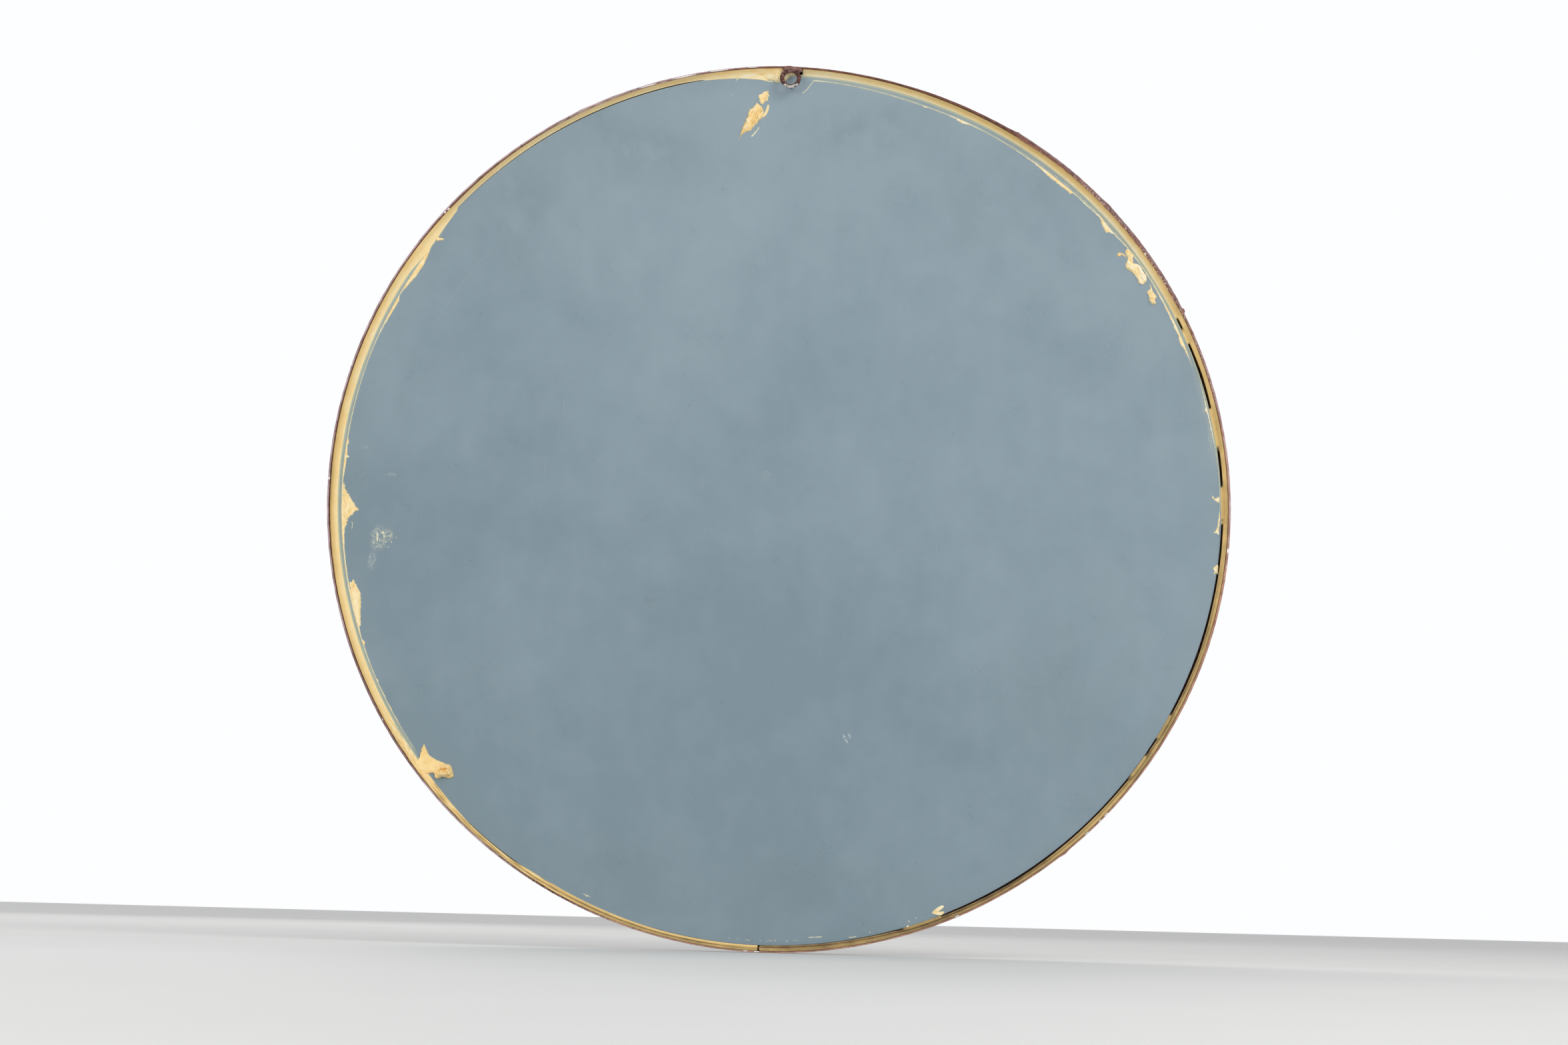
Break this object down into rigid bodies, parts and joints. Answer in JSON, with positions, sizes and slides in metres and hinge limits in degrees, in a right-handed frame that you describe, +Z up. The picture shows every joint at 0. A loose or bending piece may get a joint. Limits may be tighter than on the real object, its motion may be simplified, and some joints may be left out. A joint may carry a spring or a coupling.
{
  "type": "convex security mirror",
  "caption": "Round convex mirror of domed silvered glass, sealed into a rolled steel angle hoop with a welded hanging ring.",
  "frame": {"origin": "centre of the welded hanging ring at the top of the hoop, on the plane of the hoop's back edge", "axes": "+Z up as hung, +Y out of the back towards the wall, -Y out of the convex face, +X to the right seen from the front"},
  "size_m": [0.9, 0.0709, 0.9008],
  "materials": {
    "rim_steel": "red-brown painted steel, rust-pitted, with chips",
    "weld_metal": "rough weld under old paint",
    "ring_steel": "dark red-brown, worn bright along the bottom",
    "mirror_glass": "polished glass, silvered behind",
    "silvering": "chemical silver film",
    "back_paint": "slate blue-grey mirror backing paint, satin gloss, finely scratched",
    "sealant": "cured yellow glazing sealant, tooled and smeared",
    "block_rubber": "black"
  },
  "bodies": {
    "root": {"rim_hoop": "rim_steel", "hoop_seam_weld": "weld_metal", "hanging_ring": "ring_steel", "hanging_ring_weld": "weld_metal", "hanging_ring_weld_right": "weld_metal", "mirror_glass": "mirror_glass", "silver_coating": "silvering", "backing_paint": "back_paint", "front_glazing_bed": "sealant", "setting_block_left": "block_rubber", "setting_block_right": "block_rubber", "sealant_bead_left": "sealant", "sealant_bead_right": "sealant", "sealant_smear_top": "sealant", "sealant_smear_top_tip": "sealant", "sealant_dollop_lower_left": "sealant", "sealant_lump_upper_right": "sealant", "sealant_lump_upper_right_low": "sealant", "sealant_lump_upper_right_high": "sealant", "sealant_curl_upper_right": "sealant", "sealant_smear_left": "sealant", "sealant_smear_left_low": "sealant", "sealant_dab_right": "sealant", "sealant_dab_right_low": "sealant", "sealant_dab_bottom": "sealant"}
  },
  "joints": []
}
